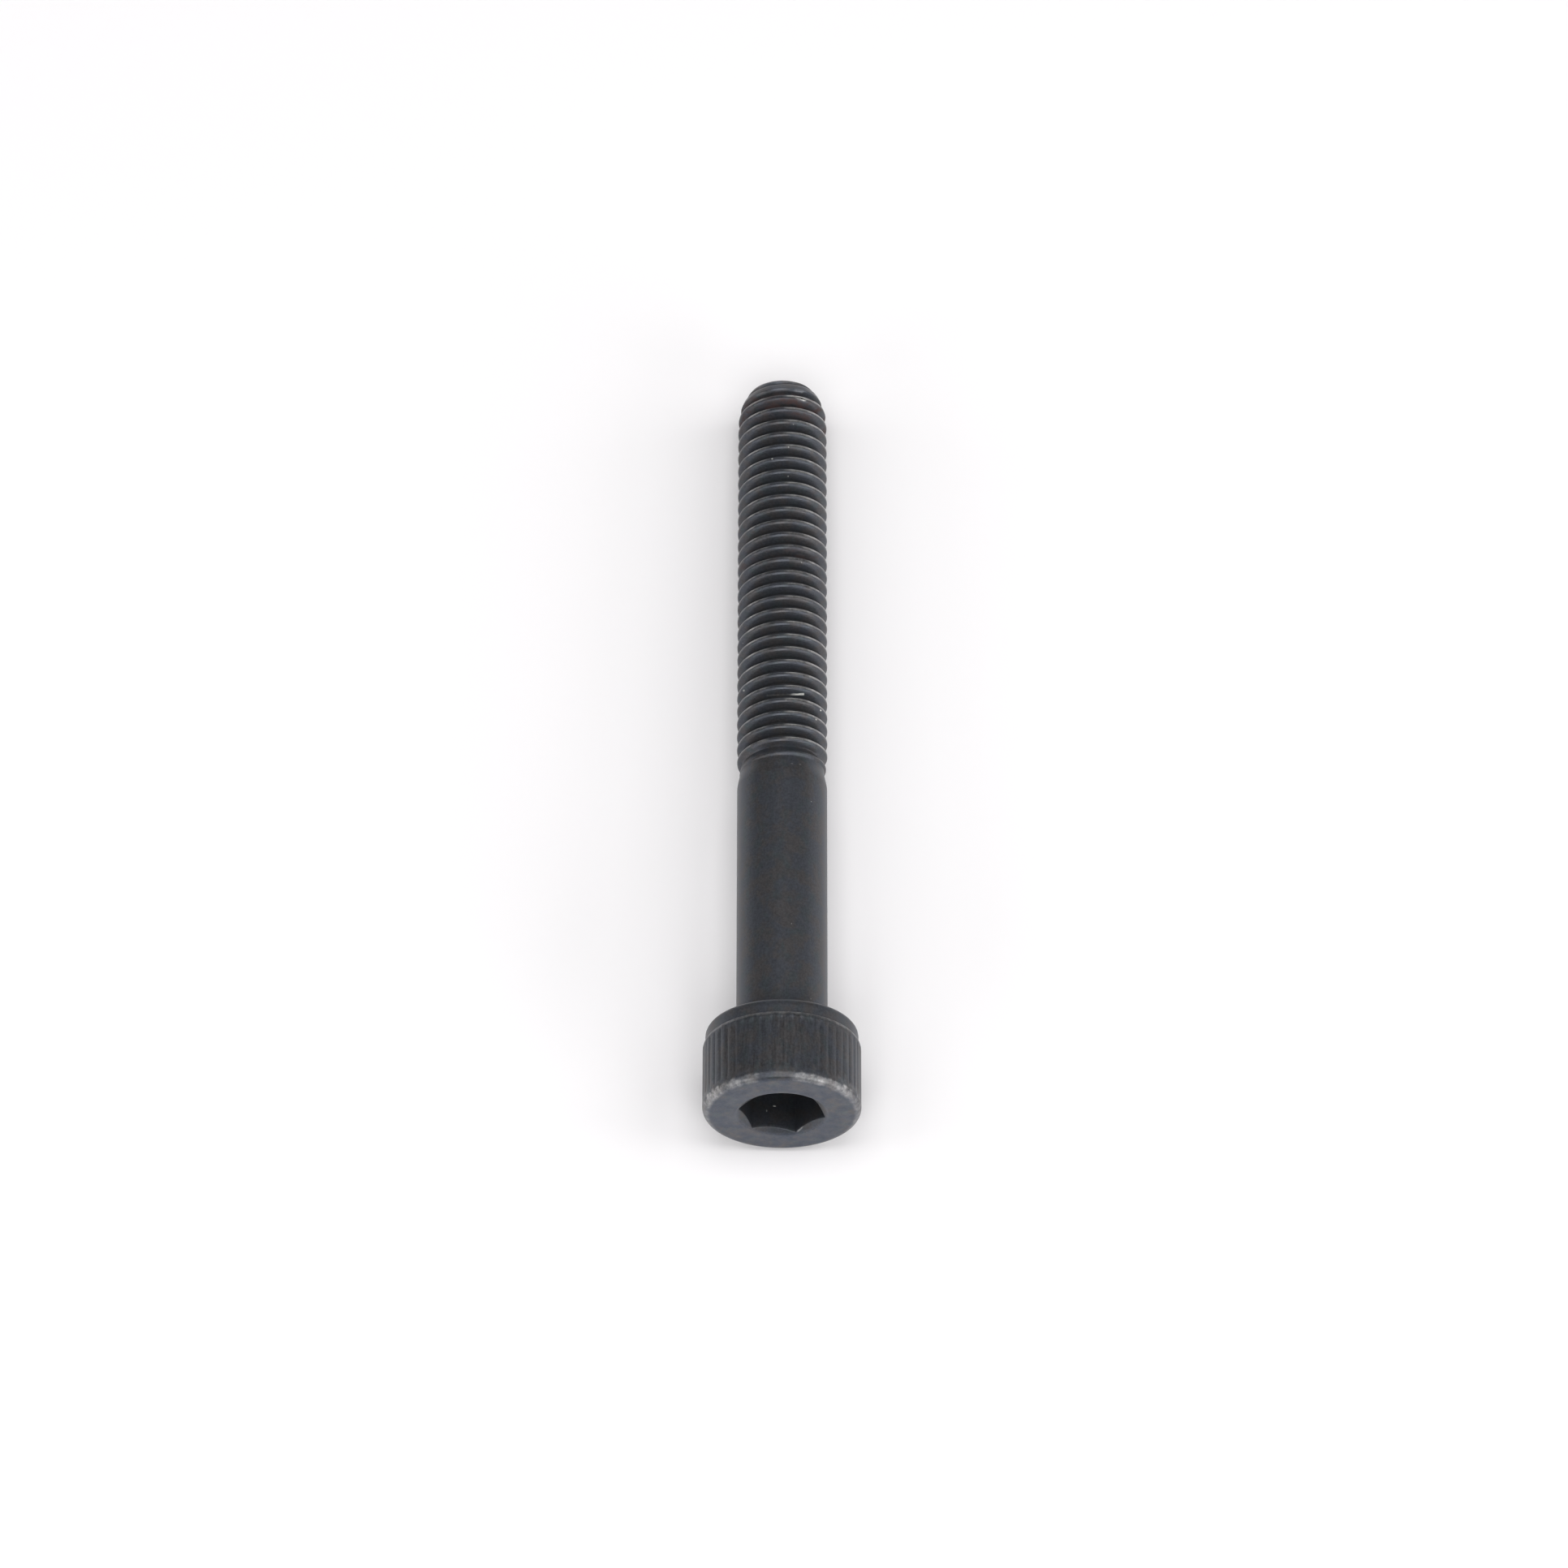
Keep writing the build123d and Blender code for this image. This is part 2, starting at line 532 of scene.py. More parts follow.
@dataclass
class Head:
    """Cylindrical head with a straight knurl, from the bearing face to the driving face.

    Attributes:
        height: Height of the head.
        knurl_radius: Radius over the ridges.
        band_radius: Radius of the plain band under the knurl.
        seat_edge: Radius of the rounded edge of the bearing face.
        face_edge: Radius of the rounded edge of the driving face.
        ridges: Number of ridges.
        spans: Spans across one ridge.
        groove_depth: Depth of the grooves along the knurl.
        foot_depth: Depth of the grooves beside the shoulder.
        foot_reach: Levels over which the deeper foot fades.
        shoulder: Levels where the shoulder under the knurl begins and ends.
        groove_start: Levels over which the grooves deepen above the shoulder.
        runout: Levels over which the grooves fade out below the rim.
        seat_radius: Radius on the bearing face where this part meets the shank.
        face_radius: Radius on the driving face where this part meets the socket.
        climb_steps: Where the shoulder's rings lie, as shares of its height.
        band_levels: Levels of the rings along the plain band.
        side_levels: Levels of the rings along the knurl.
        groove_power: How flat the ridges are between the grooves.
        foot_stagger: How far the grooves differ in where they start.
        runout_stagger: How far the grooves differ in where they run out.
        uneven: How far the ridges differ in height.
    """

    height: float = 4.82
    knurl_radius: float = 4.17
    band_radius: float = 4.03
    seat_edge: float = 0.30
    face_edge: float = 0.40
    ridges: int = 50
    spans: int = 10
    groove_depth: float = 0.034
    foot_depth: float = 0.046
    foot_reach: tuple[float, float] = (1.80, 1.30)
    shoulder: tuple[float, float] = (0.84, 1.12)
    groove_start: tuple[float, float] = (1.02, 1.34)
    runout: tuple[float, float] = (4.45, 3.85)
    seat_radius: float = 3.60
    face_radius: float = 3.66
    climb_steps: tuple[float, ...] = (0.0, 0.02, 0.07, 0.16, 0.29, 0.46, 0.70, 1.00)
    band_levels: tuple[float, ...] = (0.45, 0.65)
    side_levels: tuple[float, ...] = (
        1.17, 1.26, 1.45, 1.75, 2.1, 2.5, 2.9, 3.3, 3.6, 3.8, 3.9, 4.0, 4.1, 4.2, 4.3, 4.37
    )
    groove_power: float = 2.2
    foot_stagger: float = 0.05
    runout_stagger: float = 0.15
    uneven: float = 0.005

    def build(self) -> Blank:
        """Models the head's side and the outer part of both faces as one open sleeve.

        Returns:
            The blank, open towards the shank and towards the socket.
        """
        seat = arc(
            Ring(self.band_radius - self.seat_edge, self.seat_edge),
            self.seat_edge, -90, 0, 6,
        )
        low, high = self.shoulder
        climb = [low + (high - low) * step for step in self.climb_steps]
        levels = [*self.band_levels, *climb, *self.side_levels]
        side = [Ring(self.band_radius, level) for level in levels]
        rim = arc(
            Ring(self.band_radius - self.face_edge, self.height - self.face_edge),
            self.face_edge, 0, 90, 9,
        )
        face = [Ring(self.face_radius - self.knurl_radius + self.band_radius, self.height)]
        blank = Blank.circle(
            "head", Ring(self.seat_radius, 0.0), self.ridges * self.spans
        )
        blank.edit("EDGE")
        bpy.ops.mesh.select_all(action="SELECT")
        rings = [Ring(self.seat_radius, 0.0), *seat, *side, *rim, *face]
        blank.draw_out(rings)
        blank.leave()
        self._knurl(blank)
        return blank

    def _knurl(self, blank: Blank) -> None:
        """Raises the knurl above the band and presses its grooves, each a little uneven."""
        radius, angle, level = blank.polar()
        pitch = math.tau / self.ridges
        ridge = np.round(angle / pitch).astype(int) % self.ridges
        across = angle / pitch - np.round(angle / pitch)
        dice = random.Random(50)
        height = np.array([dice.uniform(-0.5, 0.5) for _ in range(self.ridges)])
        slip = np.array([dice.uniform(-0.5, 0.5) for _ in range(self.ridges)])
        low, high = self.shoulder
        climb = np.clip((level - low) / (high - low), 0.0, 1.0)
        swell = (self.knurl_radius - self.band_radius) * np.sqrt(climb * (2.0 - climb))
        sunk = np.abs(2.0 * across) ** self.groove_power
        reach = ease(level + self.foot_stagger * slip[ridge], *self.groove_start)
        fade = ease(level + self.runout_stagger * slip[ridge], *self.runout)
        foot = (self.foot_depth - self.groove_depth) * (1.0 + slip[ridge])
        depth = self.groove_depth + foot * ease(level, *self.foot_reach)
        depth *= reach * fade
        crown = self.uneven * (height[ridge] - 0.5) * (1 - np.abs(2.0 * across))
        crown *= reach * fade
        blank.set_polar(radius + swell - depth * sunk + crown, angle, level)


@dataclass
class Socket:
    """Hexagon socket with a countersunk mouth and a punched floor.

    Attributes:
        across_flats: Width across the flats.
        corner_deg: Angle of one corner, from +X towards +Y.
        depth: Depth to the edge of the floor.
        point_deg: Full angle of the punched cone of the floor.
        mouth_radius: Radius of the countersink on the driving face.
        mouth_deg: Full angle of the countersink.
        edge: Width of the rounding on the mouth's edges.
        face_level: Level of the driving face.
        face_radius: Radius on the driving face where this part meets the head.
        points: Vertices round the mouth, a multiple of six.
        rung: Spacing of the rings before they move to their stations.
    """

    across_flats: float = 4.01
    corner_deg: float = 48.0
    depth: float = 2.60
    point_deg: float = 140.0
    mouth_radius: float = 2.43
    mouth_deg: float = 120.0
    edge: float = 0.03
    face_level: float = 4.82
    face_radius: float = 2.62
    points: int = 144
    rung: float = 0.1

    def hexagon(self, angle: np.ndarray, inset: float = 0.0) -> np.ndarray:
        """Radius of the hexagon's walls at each angle.

        Args:
            angle: Angle in radians about the axis.
            inset: How far inside the walls to measure.

        Returns:
            The distance from the axis to the wall.
        """
        sixth = math.radians(60)
        turned = angle - math.radians(self.corner_deg) - sixth / 2
        off_flat = turned - sixth * np.round(turned / sixth)
        return (self.across_flats / 2 - inset) / np.cos(off_flat)

    def build(self) -> Blank:
        """Models the face round the mouth, the countersink, the walls and the floor.

        Returns:
            The blank, open where it meets the head.
        """
        ladder = [Ring(self.face_radius, self.face_level)] + [
            Ring(1.0, self.face_level - self.rung * k) for k in range(1, 16)
        ]
        blank = Blank.circle("socket", ladder[0], self.points, self.corner_deg)
        blank.edit("EDGE")
        bpy.ops.mesh.select_all(action="SELECT")
        blank.draw_out(ladder)
        bpy.ops.mesh.fill()
        blank.leave()
        _, angle, level = blank.polar()
        step = np.rint((self.face_level - level) / self.rung).astype(int)
        radius, depth = self._stations(angle)
        index = np.clip(step, 0, len(radius) - 1)
        rows = np.arange(len(angle))
        blank.set_polar(
            np.stack(radius)[index, rows],
            angle,
            self.face_level - np.stack(depth)[index, rows],
        )
        return blank

    def _stations(self, angle: np.ndarray) -> tuple[list[np.ndarray], list[np.ndarray]]:
        """Radius and depth of every ring of the socket, in order from the face inwards.

        Args:
            angle: Angle in radians of every vertex.

        Returns:
            Two lists of arrays, with one row for each ring.
        """
        flat = np.ones_like(angle)
        wall = self.hexagon(angle)
        cone = math.tan(math.radians(self.mouth_deg / 2))
        lip = (self.mouth_radius - wall) / cone
        edge = self.edge
        half = self.across_flats / 2
        floor = math.tan(math.radians(90 - self.point_deg / 2))
        inner = self.hexagon(angle, edge)
        rings = [
            (flat * self.face_radius, flat * 0.0),
            (flat * (self.mouth_radius + edge), flat * 0.0),
            (flat * self.mouth_radius, flat * 0.004),
            (flat * (self.mouth_radius - edge), flat * (edge / cone)),
            (wall + edge, np.maximum(lip - edge / cone, edge / cone * 1.05)),
            (wall + edge * 0.25, lip + edge * 0.12),
            (wall, lip + edge * 0.9),
            (wall, lip + 0.20),
            (wall, flat * 0.9),
            (wall, flat * 1.8),
            (wall, flat * (self.depth - 0.06)),
            (wall * 0.997, flat * (self.depth - 0.015)),
            (inner, flat * self.depth),
            (flat * (half - 0.05), flat * (self.depth + 0.05 * floor)),
            (flat * 1.0, flat * (self.depth + (half - 1.0) * floor)),
            (flat * 0.12, flat * (self.depth + (half - 0.12) * floor)),
        ]
        radius, depth = zip(*rings)
        return list(radius), list(depth)


@dataclass(frozen=True)
class ScrewAxis:
    """Where the screw lies: its own frame, in the row frame.

    Attributes:
        origin: Middle of the bearing face, in metres.
        outward: Direction out through the head.
        upward: Direction square to the axis that points up at rest.
    """

    origin: Vector
    outward: Vector
    upward: Vector

    @classmethod
    def from_record(cls, record: dict) -> "ScrewAxis":
        """Reads the screw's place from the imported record's mounts.

        Args:
            record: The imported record.

        Returns:
            The screw's own frame.
        """
        mounts = {mount["name"]: mount for mount in record["mounts"]}
        face = Vector(mounts["hexagon_socket"]["pos_m"])
        outward = Vector(mounts["hexagon_socket"]["axis"]).normalized()
        seat = Vector(mounts["bearing_face"]["pos_m"])
        origin = face - outward * (face - seat).dot(outward)
        upward = Vector((1.0, 0.0, 0.0)).cross(outward).normalized()
        if upward.z < 0:
            upward.negate()
        return cls(origin, outward, upward)

    @property
    def matrix(self) -> Matrix:
        """Takes a point of the screw's own frame, in millimetres, to the row frame."""
        side = self.upward.cross(self.outward)
        turn = Matrix((side, self.upward, self.outward)).transposed().to_4x4()
        return Matrix.Translation(self.origin) @ turn @ Matrix.Scale(MM, 4)

    def at(self, point: Sequence[float]) -> Vector:
        """Place in the row frame of a point given in the screw's own frame."""
        return self.matrix @ Vector(point)


# --------------------------------------------------------------------------------------------
# Shader building
# --------------------------------------------------------------------------------------------


class Shade:
    """A number that varies over a surface: one shader output, with arithmetic."""

    def __init__(self, tree: "ShaderTree", socket: bpy.types.NodeSocket) -> None:
        """Wraps an output socket of a node in the tree."""
        self.tree = tree
        self.socket = socket

    def _math(self, operation: str, *values: "Shade | float") -> "Shade":
        """Adds a Math node for one operation on these values."""
        node = self.tree.node(
            "ShaderNodeMath", {"operation": operation}, dict(enumerate(values))
        )
        return Shade(self.tree, node.outputs[0])

    def __add__(self, other: "Shade | float") -> "Shade":
        """Sum."""
        return self._math("ADD", self, other)

    __radd__ = __add__

    def __sub__(self, other: "Shade | float") -> "Shade":
        """Difference."""
        return self._math("SUBTRACT", self, other)

    def __rsub__(self, other: float) -> "Shade":
        """Difference from a plain number."""
        return self._math("SUBTRACT", other, self)

    def __mul__(self, other: "Shade | float") -> "Shade":
        """Product."""
        return self._math("MULTIPLY", self, other)

    def __pow__(self, other: "Shade | float") -> "Shade":
        """Power."""
        return self._math("POWER", self, other)

    def turned_to(self, x: "Shade") -> "Shade":
        """Angle of the direction (x, self), in radians."""
        return self._math("ARCTAN2", self, x)

    def size(self) -> "Shade":
        """The number without its sign."""
        return self._math("ABSOLUTE", self)

    def cosine(self) -> "Shade":
        """Cosine of an angle in radians."""
        return self._math("COSINE", self)

    def wrapped(self, limit: float) -> "Shade":
        """The number brought into the range from -limit to limit by whole turns."""
        return self._math("WRAP", self, limit, -limit)

    def ease(self, start: float, end: float) -> "Shade":
        """Smooth rise from 0 at start to 1 at end. Start may be above end."""
        low, high, first, last = (
            (start, end, 0.0, 1.0) if start < end else (end, start, 1.0, 0.0)
        )
        node = self.tree.node(
            "ShaderNodeMapRange",
            {"interpolation_type": "SMOOTHSTEP"},
            {
                "Value": self,
                "From Min": low,
                "From Max": high,
                "To Min": first,
                "To Max": last,
            },
        )
        return Shade(self.tree, node.outputs[0])

    def between(self, low: float, high: float, soft: float) -> "Shade":
        """1 from low to high, fading to 0 over the soft width outside them."""
        return self.ease(low - soft, low) * self.ease(high + soft, high)


class ShaderTree:
    """A node tree that is written as expressions."""

    def __init__(self, tree: bpy.types.NodeTree) -> None:
        """Empties the tree and writes into it."""
        self.tree = tree
        tree.nodes.clear()

    def node(
        self,
        kind: str,
        settings: dict[str, object] | None = None,
        inputs: dict[str | int, object] | None = None,
    ) -> bpy.types.Node:
        """Adds a node.

        Args:
            kind: The node's type.
            settings: Its properties, which are set first.
            inputs: Values or links of its input sockets, by name or number.

        Returns:
            The new node.
        """
        made = self.tree.nodes.new(kind)
        for name, value in (settings or {}).items():
            setattr(made, name, value)
        for name, value in (inputs or {}).items():
            self.feed(made.inputs[name], value)
        return made

    def feed(self, socket: bpy.types.NodeSocket, value: object) -> None:
        """Links a socket to a shade or another socket, or sets its own value."""
        if isinstance(value, Shade):
            self.tree.links.new(value.socket, socket)
        elif isinstance(value, bpy.types.NodeSocket):
            self.tree.links.new(value, socket)
        elif isinstance(value, tuple) and len(value) == 3 and socket.type == "RGBA":
            socket.default_value = (*value, 1.0)
        else:
            socket.default_value = value

    def noise(
        self, place: bpy.types.NodeSocket, scale: float, detail: float = 3.0
    ) -> Shade:
        """Cloudy noise from 0 to 1 at a scale in cycles a millimetre."""
        node = self.node(
            "ShaderNodeTexNoise",
            {"noise_dimensions": "3D"},
            {"Vector": place, "Scale": scale, "Detail": detail, "Roughness": 0.55},
        )
        return Shade(self, node.outputs[0])

    def moved(
        self, place: bpy.types.NodeSocket, offset: Sequence[float], scale: Sequence[float]
    ) -> bpy.types.NodeSocket:
        """A place shifted and then stretched, as a new vector."""
        node = self.node(
            "ShaderNodeMapping",
            {"vector_type": "POINT"},
            {"Vector": place, "Location": tuple(offset), "Scale": tuple(scale)},
        )
        return node.outputs[0]

    def blend(
        self, share: Shade | float, first: object, second: object
    ) -> bpy.types.NodeSocket:
        """Mixes two colours: first at a share of 0 and second at 1."""
        node = self.node(
            "ShaderNodeMix",
            {"data_type": "RGBA", "blend_type": "MIX", "clamp_factor": True},
            {0: share, 6: first, 7: second},
        )
        return node.outputs[2]


Colour = tuple[float, float, float]


@dataclass(frozen=True)
class Patch:
    """A small oval place on the surface, in the screw's own frame.

    Attributes:
        centre: Its middle, in millimetres.
        reach: Half sizes along its own x, y and z.
        turn_deg: Its turn about the screw's axis direction.
        share: How strong its middle is.
    """

    centre: Colour
    reach: Colour
    turn_deg: float = 0.0
    share: float = 1.0

    def mask(self, tree: ShaderTree, place: bpy.types.NodeSocket) -> Shade:
        """The patch's share in its middle, falling to 0 at its edge."""
        held = tree.node(
            "ShaderNodeMapping",
            {"vector_type": "TEXTURE"},
            {
                "Vector": place,
                "Location": self.centre,
                "Rotation": (0.0, 0.0, math.radians(self.turn_deg)),
                "Scale": self.reach,
            },
        )
        node = tree.node(
            "ShaderNodeVectorMath", {"operation": "LENGTH"}, {0: held.outputs[0]}
        )
        return Shade(tree, node.outputs["Value"]).ease(1.0, 0.45) * self.share


@dataclass(frozen=True)
class WearAndSheenArc:
    """A stretch round the screw shown as bare steel: partly rubbed oxide, partly painted
    highlight.

    Attributes:
        middle_deg: Middle of the stretch, from +X towards +Y.
        core_deg: Half angle that is rubbed evenly.
        reach_deg: Half angle where it has faded out.
        share: How far the oxide is gone in the middle.
    """

    middle_deg: float
    core_deg: float
    reach_deg: float
    share: float

    def mask(self, angle: Shade) -> Shade:
        """The share of bare steel at each angle about the axis."""
        near = (angle - math.radians(self.middle_deg)).cosine()
        edge = math.cos(math.radians(self.reach_deg))
        return near.ease(edge, math.cos(math.radians(self.core_deg))) * self.share


@dataclass(frozen=True)
class Surface:
    """Where a point of the screw is, as the finish sees it.

    Attributes:
        tree: The material's node tree.
        place: The point in the screw's own frame, in millimetres.
        x: Its distance to the right of the axis.
        radius: Its distance from the axis.
        angle: Its angle about the axis, from +X towards +Y.
        level: Its level along the axis.
        crest: Its distance from the nearest crest of the thread, headwards along the axis.
        grain: Fine noise from 0 to 1.
    """

    tree: ShaderTree
    place: bpy.types.NodeSocket
    x: Shade
    radius: Shade
    angle: Shade
    level: Shade
    crest: Shade
    grain: Shade


@dataclass(frozen=True)
class BlackOxide:
    """Satin black oxide over steel, rubbed bright on its edges and stained near the tip, with
    painted highlights on the rim, crests and knurl and painted shade in the socket and
    grooves.

    Attributes:
        cool: Colour of the oxide where it is thickest.
        warm: Colour of the oxide where it is thin and browner.
        green: Colour of the oily film that lies in patches.
        blued: Colour of the bluer patches on the driving face.
        steel: Colour of the bare steel where the oxide is rubbed off, also used for the
            painted highlights.
        rust: Colour of the stain in the first grooves.
        dust: Colour of lint and dust specks.
        shine: Roughness of the oxide.
        rolled_shine: How much smoother the rolled thread is.
        metal: How metallic the oxide is.
        socket_shade: Share of the oxide's colour left in the socket, as painted shade.
        root_shade: Share of the oxide's colour left at the bottom of the grooves, as painted
            shade.
        rim_wear_and_highlights: Where the rim of the driving face shows bare steel: partly
            wear, partly painted highlight.
        crest_wear_and_highlights: Where the crests of the thread show bare steel: partly
            wear, partly painted highlight.
        side_wear_and_sheen: How many of the last rim stretches also brighten the ridges at
            the head's sides, partly as wear and partly as painted highlight.
        threaded: Levels between which the thread is rubbed and carries its painted sheen.
        grooved: Levels between which the grooves get painted shade and a rougher finish.
        first_grooves: Levels between which the first grooves are stained.
        stray_groove: Levels between which one groove further up is stained.
        sliver_level: Level of the pale sliver above the axis.
        sliver_slant: How far the sliver leans for each millimetre to the right.
        sliver_bow: How far it bends for each square millimetre to either side.
        sliver_span: Where it begins and ends, to the left and right of the axis.
        clouding: How strongly the oxide's colour varies in fine grain.
        bump: Strength and depth, in millimetres, of the fine unevenness.
        scuffs_and_glint: Scratches and knocks that show bare steel; those on the crests near
            the tip are also a painted glint.
        specks: Specks of lint.
    """

    cool: Colour = (0.061, 0.066, 0.079)
    warm: Colour = (0.071, 0.068, 0.071)
    green: Colour = (0.056, 0.068, 0.075)
    blued: Colour = (0.050, 0.062, 0.090)
    steel: Colour = (0.62, 0.61, 0.60)
    rust: Colour = (0.056, 0.031, 0.029)
    dust: Colour = (0.60, 0.60, 0.57)
    shine: float = 0.42
    rolled_shine: float = 0.08
    metal: float = 0.72
    socket_shade: float = 0.90
    root_shade: float = 0.40
    side_wear_and_sheen: int = 2
    threaded: tuple[float, float] = (-38.2, -16.2)
    grooved: tuple[float, float] = (-38.2, -16.9)
    first_grooves: tuple[float, float] = (-38.4, -37.2)
    stray_groove: tuple[float, float] = (-28.7, -28.2)
    sliver_level: float = -19.386
    sliver_slant: float = 0.05
    sliver_bow: float = 0.072
    sliver_span: tuple[float, float] = (-0.80, 1.13)
    clouding: float = 0.9
    bump: tuple[float, float] = (0.35, 0.012)
    # Rim stretches of bare steel: partly wear, partly painted highlight.
    rim_wear_and_highlights: tuple[WearAndSheenArc, ...] = (
        WearAndSheenArc(70.0, 6.0, 17.0, 0.32),
        WearAndSheenArc(46.0, 6.0, 22.0, 0.24),
        WearAndSheenArc(120.0, 6.0, 17.0, 0.28),
        WearAndSheenArc(146.0, 8.0, 28.0, 0.16),
        WearAndSheenArc(5.0, 20.0, 50.0, 0.29),
        WearAndSheenArc(175.0, 20.0, 45.0, 0.29),
    )
    # Crest stretches of bare steel: partly wear, partly painted highlight.
    crest_wear_and_highlights: tuple[WearAndSheenArc, ...] = (
        WearAndSheenArc(66.0, 6.0, 26.0, 0.52),
        WearAndSheenArc(42.0, 16.0, 50.0, 0.36),
        WearAndSheenArc(124.0, 6.0, 22.0, 0.48),
        WearAndSheenArc(146.0, 12.0, 36.0, 0.26),
        WearAndSheenArc(20.0, 16.0, 44.0, 0.18),
    )
    scuffs_and_glint: tuple[Patch, ...] = (
        Patch((0.97, -1.95, 4.70), (0.36, 0.06, 0.16), 54.0, 0.25),
        # The patches on the crests near the tip are partly a knock and partly a painted
        # glint.
        Patch((0.86, 2.20, -38.16), (0.24, 0.34, 0.13), 0.0, 0.75),
        Patch((1.13, 2.08, -38.14), (0.26, 0.34, 0.13), 0.0, 0.80),
        Patch((1.00, 2.14, -38.17), (0.55, 0.34, 0.19), 0.0, 0.25),
        Patch((0.95, 1.95, -38.75), (0.50, 0.34, 0.20), 0.0, 0.14),
    )
    specks: tuple[Patch, ...] = (
        Patch((-0.56, 2.38, -34.12), (0.06, 0.14, 0.07), 0.0, 0.65),
        Patch((0.33, 2.40, -34.85), (0.05, 0.10, 0.05), 0.0, 0.45),
        Patch((0.31, 2.17, -33.10), (0.05, 0.10, 0.04), 0.0, 0.50),
        Patch((0.60, 2.25, -36.39), (0.04, 0.10, 0.04), 0.0, 0.40),
        Patch((0.99, 2.20, -15.06), (0.14, 0.12, 0.06), 0.0, 0.30),
        Patch((0.52, 2.28, -15.02), (0.10, 0.12, 0.05), 0.0, 0.22),
        Patch((2.05, 1.20, -18.93), (0.10, 0.12, 0.05), 0.0, 0.80),
        Patch((1.82, 1.60, -18.14), (0.07, 0.12, 0.05), 0.0, 0.60),
        Patch((1.16, 2.00, -18.84), (0.05, 0.12, 0.04), 0.0, 0.50),
        Patch((0.20, 2.43, -18.87), (0.04, 0.12, 0.04), 0.0, 0.40),
        Patch((-2.05, 1.10, -20.22), (0.10, 0.12, 0.05), 0.0, 0.45),
        Patch((-0.39, -1.97, 3.32), (0.12, 0.10, 0.05), 0.0, 0.65),
        Patch((-0.80, -1.88, 3.64), (0.05, 0.10, 0.09), 0.0, 0.40),
        Patch((1.81, -0.98, 3.68), (0.05, 0.08, 0.07), 0.0, 0.20),
    )

    def material(self, axis: ScrewAxis) -> bpy.types.Material:
        """Builds the procedural material.

        Args:
            axis: Where the screw lies, which centres and turns every pattern.

        Returns:
            The material.
        """
        made = bpy.data.materials.new("black_oxide")
        made.use_nodes = True
        tree = ShaderTree(made.node_tree)
        place = self._own_place(tree, axis)
        split = tree.node("ShaderNodeSeparateXYZ", inputs={0: place})
        x, y, level = (Shade(tree, socket) for socket in split.outputs)
        angle = y.turned_to(x)
        pitch = ThreadedShank.pitch
        helix = level - ThreadedShank.first_crest - angle * (pitch / math.tau)
        at = Surface(
            tree=tree,
            place=place,
            x=x,
            radius=(x * x + y * y) ** 0.5,
            angle=angle,
            level=level,
            crest=helix.wrapped(pitch / 2),
            grain=tree.noise(place, 9.0, 4.0),
        )
        # Share of bare steel, which also carries the painted highlights.
        bare = self._bare_steel_and_highlights(at)
        stain = self._stain(at)
        dust = self._dust(at)
        colour = tree.blend(bare, self._oxide(at), self.steel)
        colour = tree.blend(stain, colour, self.rust)
        colour = tree.blend(dust, colour, self.dust)
        rolled = level.ease(-15.4, -16.4) * self.rolled_shine
        rough = self.shine - rolled + (at.grain - 0.5) * 0.16
        rough = rough - bare * 0.06 + stain * 0.3 + dust * 0.3 + self._roots(at) * 0.3
        metal = (1.0 - stain * 0.5) * (1.0 - dust)
        metal = metal * (self.metal + bare * (1.0 - self.metal))
        height = at.grain * 0.6 + tree.noise(place, 28.0, 2.0) * 0.4
        strength, depth = self.bump
        bump = tree.node(
            "ShaderNodeBump",
            inputs={"Height": height, "Strength": strength, "Distance": depth * MM},
        )
        shader = tree.node(
            "ShaderNodeBsdfPrincipled",
            inputs={
                "Base Color": colour,
                "Roughness": rough,
                "Metallic": metal,
                "Normal": bump.outputs[0],
            },
        )
        tree.node("ShaderNodeOutputMaterial", inputs={"Surface": shader.outputs[0]})
        return made

    def _own_place(self, tree: ShaderTree, axis: ScrewAxis) -> bpy.types.NodeSocket:
        """Object coordinates turned into the screw's own frame, in millimetres."""
        spot, turn, scale = axis.matrix.decompose()
        held = tree.node("ShaderNodeTexCoord")
        node = tree.node(
            "ShaderNodeMapping",
            {"vector_type": "TEXTURE"},
            {
                "Vector": held.outputs["Object"],
                "Location": tuple(spot),
                "Rotation": tuple(turn.to_euler("XYZ")),
                "Scale": tuple(scale),
            },
        )
        return node.outputs[0]

    def _oxide(self, at: Surface) -> bpy.types.NodeSocket:
        """The oxide's colour: clouded, drawn along the knurl, with painted shade in the
        socket and at the bottom of the thread's grooves.
        """
        cloud = at.tree.noise(at.place, 1.1, 4.0)
        shifted = at.tree.moved(at.place, (7.0, 3.0, 1.0), (1.0, 1.0, 0.7))
        film = at.tree.noise(shifted, 1.9, 4.0)
        oxide = at.tree.blend(cloud.ease(0.42, 0.62), self.cool, self.warm)
        oxide = at.tree.blend(film.ease(0.48, 0.70) * 0.8, oxide, self.green)
        drawn = at.tree.noise(at.tree.moved(at.place, (0.0,) * 3, (1.0, 1.0, 0.1)), 8.0, 3.0)
        knurl = at.radius.ease(4.05, 4.10) * at.level.between(1.0, 4.0, 0.3)
        tone = 1.0 + (at.grain - 0.5) * self.clouding
        tone = tone + (drawn - 0.5) * knurl * self.clouding
        face = at.level.ease(4.70, 4.80)
        mottle = at.tree.noise(at.tree.moved(at.place, (4.0, 1.0, 0.0), (1.0,) * 3), 1.7, 5.0)
        tone = tone + ((mottle - 0.5) * 1.3 + 0.20) * face - knurl * 0.14
        oxide = at.tree.blend(face * mottle.ease(0.64, 0.36) * 0.6, oxide, self.blued)
        # Painted shade in the socket: the oxide darkened on its walls and floor.
        socket = at.radius.ease(2.42, 2.34) * at.level.between(1.0, 4.72, 0.06)
        tone = tone * (1.0 - socket * (1.0 - self.socket_shade))
